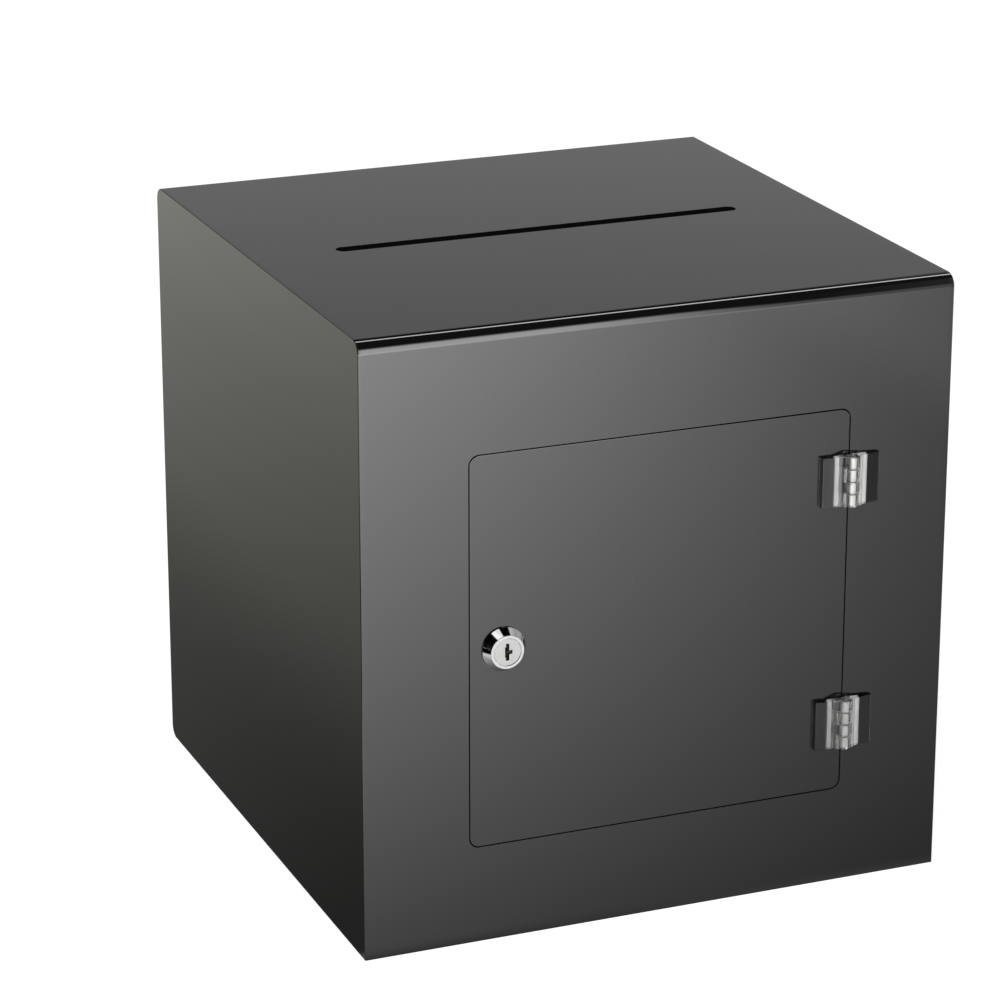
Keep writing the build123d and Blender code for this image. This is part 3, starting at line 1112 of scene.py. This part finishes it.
def make_tumblers():
    """Five flat brass tumblers, each with a side lug and a window for the key."""
    half_height = sqrt(PLUG_RADIUS**2 - WAFER_HALF_WIDTH**2) - WAFER_PLAY
    lug = WAFER_HALF_WIDTH + WAFER_LUG
    outline = [
        (-WAFER_HALF_WIDTH, -half_height),
        (WAFER_HALF_WIDTH, -half_height),
        (WAFER_HALF_WIDTH, WAFER_LUG_LOW),
        (lug, WAFER_LUG_LOW),
        (lug, WAFER_LUG_TOP),
        (WAFER_HALF_WIDTH, WAFER_LUG_TOP),
        (WAFER_HALF_WIDTH, half_height),
        (-WAFER_HALF_WIDTH, half_height),
    ]
    outline = [(LOCK_X + x, LOCK_Z + z) for x, z in outline]
    front = PLUG_FACE + WAFER_FIRST
    wafer = prism_object("tumbler_wafers_stamped", outline, front, front + WAFER_THICKNESS, "Y")
    width = 2 * (WAFER_HALF_WIDTH - WAFER_RIM)
    height = KEYWAY_HEIGHT - WAFER_RIM
    key_window = rounded_rectangle(width, height, WINDOW_CORNER, (LOCK_X, LOCK_Z), 4)
    cut(wafer, prism_object("window", key_window, front - SHEET, front + SHEET, "Y"))
    soften(wafer, WAFER_EDGE, 2, sharp=50)
    grow(
        wafer,
        row_tree(),
        {"Count": WAFERS, "Step": (0.0, WAFER_PITCH, 0.0), "Material": FINISHES["tumbler_brass"]},
    )
    shade(wafer)
    dress(wafer, "lock_cylinder", "tumbler_brass", "tumbler_wafers")


def spring_tree():
    """Coil springs in a straight row."""
    tree, given, result = new_tree(
        "coils",
        {
            "Count": "Int",
            "First": "Vector",
            "Step": "Vector",
            "Turns": "Float",
            "Coil radius": "Float",
            "Wire radius": "Float",
            "Length": "Float",
        },
    )
    spiral = add(
        tree,
        "GeometryNodeCurveSpiral",
        {
            "Resolution": SPRING_TURN_STEPS,
            "Rotations": given["Turns"],
            "Start Radius": given["Coil radius"],
            "End Radius": given["Coil radius"],
            "Height": given["Length"],
        },
    )
    section = add(
        tree,
        "GeometryNodeCurvePrimitiveCircle",
        {"Resolution": SPRING_WIRE_SIDES, "Radius": given["Wire radius"]},
    )
    coil = add(
        tree,
        "GeometryNodeCurveToMesh",
        {"Curve": spiral.outputs[0], "Profile Curve": section.outputs[0], "Fill Caps": True},
    )
    copies = row(tree, given["Count"], given["First"], given["Step"], coil.outputs[0])
    end_tree(tree, copies, given, result)
    return tree


def make_springs():
    """Five coil springs, each under the side lug of its wafer."""
    springs = link("wafer_springs_coiled", bpy.data.meshes.new("wafer_springs_coiled"))
    x = LOCK_X + WAFER_HALF_WIDTH + (WAFER_LUG + WAFER_PLAY) / 2
    y = PLUG_FACE + WAFER_FIRST + WAFER_THICKNESS / 2
    grow(
        springs,
        spring_tree(),
        {
            "Count": WAFERS,
            "First": (x, y, LOCK_Z + SPRING_LOW),
            "Step": (0.0, WAFER_PITCH, 0.0),
            "Turns": float(SPRING_TURNS),
            "Coil radius": SPRING_RADIUS,
            "Wire radius": SPRING_WIRE,
            "Length": SPRING_HIGH - SPRING_LOW,
            "Material": FINISHES["bright_steel"],
        },
    )
    shade(springs)
    dress(springs, "lock_cylinder", "bright_steel", "wafer_springs")


make_wrap_sheet()
make_side_panel(-1, "left_side_panel")
make_side_panel(1, "right_side_panel")
make_door_panel()
make_copies()
make_hinges()
make_lock_body()
make_lock_nut()
make_star_washer()
make_tumblers()
make_springs()


def pool_in_front(tree, x, y):
    """The soft pool of light on the floor in front, which the front panel and the hinges reflect."""
    ahead = brightest(tree, calc(tree, "SUBTRACT", FRONT, y), 0)
    reach = calc(tree, "DIVIDE", plus(tree, ahead, 0.194), -0.946)
    rise = calc(tree, "SUBTRACT", 1, calc(tree, "EXPONENT", reach))
    near_edge = plus(tree, times(tree, ahead, 0.515), -0.101)
    far_edge = plus(tree, times(tree, ahead, 0.43), -0.016)
    past_edge = calc(tree, "SUBTRACT", x, calc(tree, "MINIMUM", near_edge, far_edge))
    fall = calc(tree, "EXPONENT", calc(tree, "DIVIDE", past_edge, 0.2))
    pool = calc(tree, "DIVIDE", times(tree, rise, POOL_LEVEL), plus(tree, 1, fall))
    # Beyond a slanting line at the left only a dim remainder of it stays
    past_line = plus(tree, x, times(tree, plus(tree, y, 0.22), 0.56))
    patch = times(
        tree, window(tree, x, -1.40, -0.63, 0.11), ramp(tree, y, -0.32, -0.46, 0.0, 0.42)
    )
    remainder = brightest(tree, ramp(tree, y, -0.35, -0.90, 0.0, 0.50), patch)
    soft_end = calc(tree, "MINIMUM", -0.50, plus(tree, times(tree, y, 0.5), -0.36))
    pool = times(tree, pool, ramp(tree, past_line, soft_end, -0.38, remainder, 1.0))
    far = times(tree, ramp(tree, x, 0.47, 0.60), ramp(tree, y, -0.60, -0.85, 0.0, 0.50))
    return plus(tree, pool, far)


def floor_behind(tree, x, y):
    """The dimmer floor beside and behind the box, which the side and back panels reflect."""
    slope = calc(tree, "MULTIPLY", plus(tree, y, 0.10), 0.30, clamp=True)
    left = plus(tree, slope, ramp(tree, x, -0.22, -0.55, 0.066, 0.266))
    left = times(
        tree,
        left,
        ramp(tree, x, -0.19, -0.30, 1.0, 1.42),
        ramp(tree, x, -0.29, -0.42, 1.0, 0.89),
    )
    dark_corner = times(tree, ramp(tree, x, -0.40, -0.46), ramp(tree, y, 0.30, 0.15))
    left = times(tree, left, calc(tree, "SUBTRACT", 1, dark_corner))
    across = ramp(tree, x, -0.14, 0.14)
    return add(
        tree, "ShaderNodeMix", {"Factor": across, "A": left, "B": BEHIND_LEVEL}
    ).outputs[0]


def pool_of_light(tree, x, y):
    """How bright the floor is in a gloss, by its place: a soft pool in front, dim at the sides."""
    in_front = ramp(tree, y, -0.140, -0.165)
    rest = times(tree, floor_behind(tree, x, y), calc(tree, "SUBTRACT", 1, in_front))
    floor = plus(tree, rest, times(tree, pool_in_front(tree, x, y), in_front))
    lean = plus(tree, y, 0.102, times(tree, x, 0.55))
    right = times(
        tree,
        ramp(tree, x, 0.18, 0.28),
        ramp(tree, lean, -0.03, 0.05),
        ramp(tree, y, 0.20, -0.12, 0.0, RIGHT_FLOOR_LEVEL),
    )
    far_right = times(
        tree,
        ramp(tree, x, 0.75, 1.0),
        ramp(tree, y, -0.2, -0.4, 0.0, FAR_RIGHT_LEVEL),
        ramp(tree, y, -1.45, -1.20),
    )
    return brightest(tree, floor, right, far_right)


def make_floor():
    """A pale floor that keeps a soft shadow, with a soft pool of light where it is seen in a gloss."""
    bm = bmesh.new()
    corners = ((-1, -1), (1, -1), (1, 1), (-1, 1))
    bm.faces.new([bm.verts.new((x * FLOOR_HALF, y * FLOOR_HALF, 0)) for x, y in corners])
    floor = mesh_object("floor", bm)
    material, tree, output, place = new_finish("pale_floor")
    rays = tree.nodes.new("ShaderNodeLightPath")
    split = add(tree, "ShaderNodeSeparateXYZ", {0: place})
    x, y = split.outputs[0], split.outputs[1]
    through = rays.outputs["Is Transmission Ray"]
    seen = calc(tree, "ADD", rays.outputs["Is Camera Ray"], through, clamp=True)
    pool = pool_of_light(tree, x, y)
    level = brightest(tree, times(tree, seen, FLOOR_SEEN_LEVEL), times(tree, through, pool))
    card = add(tree, "ShaderNodeBsdfDiffuse", {"Color": (0.30, 0.30, 0.30, 1)})
    glow = add(tree, "ShaderNodeEmission", {"Strength": level})
    pale = add(tree, "ShaderNodeAddShader", {0: card.outputs[0], 1: glow.outputs[0]})
    beside_left = times(tree, ramp(tree, y, -0.165, -0.140), ramp(tree, x, -0.10, -0.25))
    tint = two_tone(tree, beside_left, (1.0, 1.0, 1.0), (1.0, 1.02, 0.91))
    gloss = add(tree, "ShaderNodeEmission", {"Color": tint, "Strength": pool})
    both = add(
        tree,
        "ShaderNodeMixShader",
        {0: rays.outputs["Is Glossy Ray"], 1: pale.outputs[0], 2: gloss.outputs[0]},
    )
    tree.links.new(both.outputs[0], output.inputs["Surface"])
    floor.data.materials.append(material)


def studio_above(tree, x, y, z):
    """How bright the studio is in a gloss, by direction: the light of its wall, strips and boxes."""
    wall = times(
        tree,
        ramp(tree, y, 0.0, 0.3),
        ramp(tree, z, 0.22, 0.31, *WALL_LEVELS),
        ramp(tree, z, 0.50, 0.60, 1.0, 0.0),
    )
    lean_back = calc(tree, "DIVIDE", y, brightest(tree, z, 0.01))
    strip = times(
        tree,
        window(tree, lean_back, 0.27, 0.46, 0.04),
        ramp(tree, x, 0.05, 0.30, *STRIP_LEVELS),
        ramp(tree, z, 0.5, 0.6),
    )
    right_wall = times(
        tree, ramp(tree, x, 0.42, 0.52), ramp(tree, z, 0.79, 0.84, RIGHT_WALL_LEVEL, 0.0)
    )
    patch = times(
        tree,
        window(tree, x, -0.53, 0.0, 0.04),
        window(tree, y, -0.16, 0.16, 0.03),
        ramp(tree, z, 0.4, 0.45, 0.0, PATCH_LEVEL),
    )
    turn = calc(tree, "DIVIDE", x, brightest(tree, times(tree, y, -1), 0.01))
    side_box = times(
        tree,
        ramp(tree, turn, 1.25, 1.45),
        window(tree, y, -0.70, -0.08, 0.04),
        window(tree, z, -0.20, 0.80, 0.04),
        ramp(tree, z, 0.10, 0.50, *SIDE_BOX_LEVELS),
    )
    # The light along the front bend ends lower, and is dimmer, towards the hinges
    height = plus(tree, z, ramp(tree, x, 0.40, 0.43, 0.0, 0.21))
    front = times(
        tree,
        ramp(tree, x, 0.365, 0.435, *FRONT_LEVELS),
        window(tree, x, 0.29, 0.50, 0.03),
        ramp(tree, height, 0.34, 0.64, 1.0, 0.0),
        ramp(tree, y, -0.1, -0.4),
    )
    soft_front = times(
        tree, ramp(tree, x, 0.15, -0.10), ramp(tree, y, -0.12, -0.35, 0.0, SOFT_FRONT_LEVEL)
    )
    return brightest(tree, wall, strip, right_wall, patch, front, side_box, soft_front)


def make_world():
    """White where it is seen, plain where it lights, and a studio where it shows in a gloss."""
    world = bpy.data.worlds.new("studio")
    bpy.context.scene.world = world
    world.use_nodes = True
    tree = world.node_tree
    tree.nodes.clear()
    output = tree.nodes.new("ShaderNodeOutputWorld")
    rays = tree.nodes.new("ShaderNodeLightPath")
    way = tree.nodes.new("ShaderNodeTexCoord").outputs["Generated"]
    split = add(tree, "ShaderNodeSeparateXYZ", {0: way})
    studio = studio_above(tree, *split.outputs)
    shown = calc(
        tree, "ADD", rays.outputs["Is Camera Ray"], rays.outputs["Is Transmission Ray"], clamp=True
    )
    plain = brightest(tree, shown, PLAIN_LEVEL)
    level = add(
        tree, "ShaderNodeMix", {"Factor": rays.outputs["Is Glossy Ray"], "A": plain, "B": studio}
    ).outputs[0]
    sky = add(tree, "ShaderNodeBackground", {"Color": (1, 1, 1, 1), "Strength": level})
    tree.links.new(sky.outputs[0], output.inputs["Surface"])


def make_lamp(name, place, size, power):
    """A square soft lamp that isn't seen in a gloss."""
    data = bpy.data.lights.new(name, "AREA")
    data.shape = "SQUARE"
    data.size = size
    data.energy = power
    lamp = link(name, data)
    lamp.location = place
    lamp.rotation_euler = (Vector(LAMP_AIM) - Vector(place)).to_track_quat("-Z", "Y").to_euler()
    lamp.visible_glossy = False
    lamp.visible_camera = False
    lamp.visible_transmission = False


def make_camera():
    """The photograph's view: from the upper left, a long lens."""
    data = bpy.data.cameras.new("camera")
    data.sensor_width = CAMERA_SENSOR
    data.lens = CAMERA_LENS
    camera = link("camera", data)
    camera.location = CAMERA_PLACE
    camera.rotation_euler = [radians(angle) for angle in CAMERA_TURN]
    bpy.context.scene.camera = camera


make_floor()
make_world()
for lamp_row in LAMPS:
    make_lamp(*lamp_row)
make_camera()

bpy.context.scene.view_settings.view_transform = "Standard"
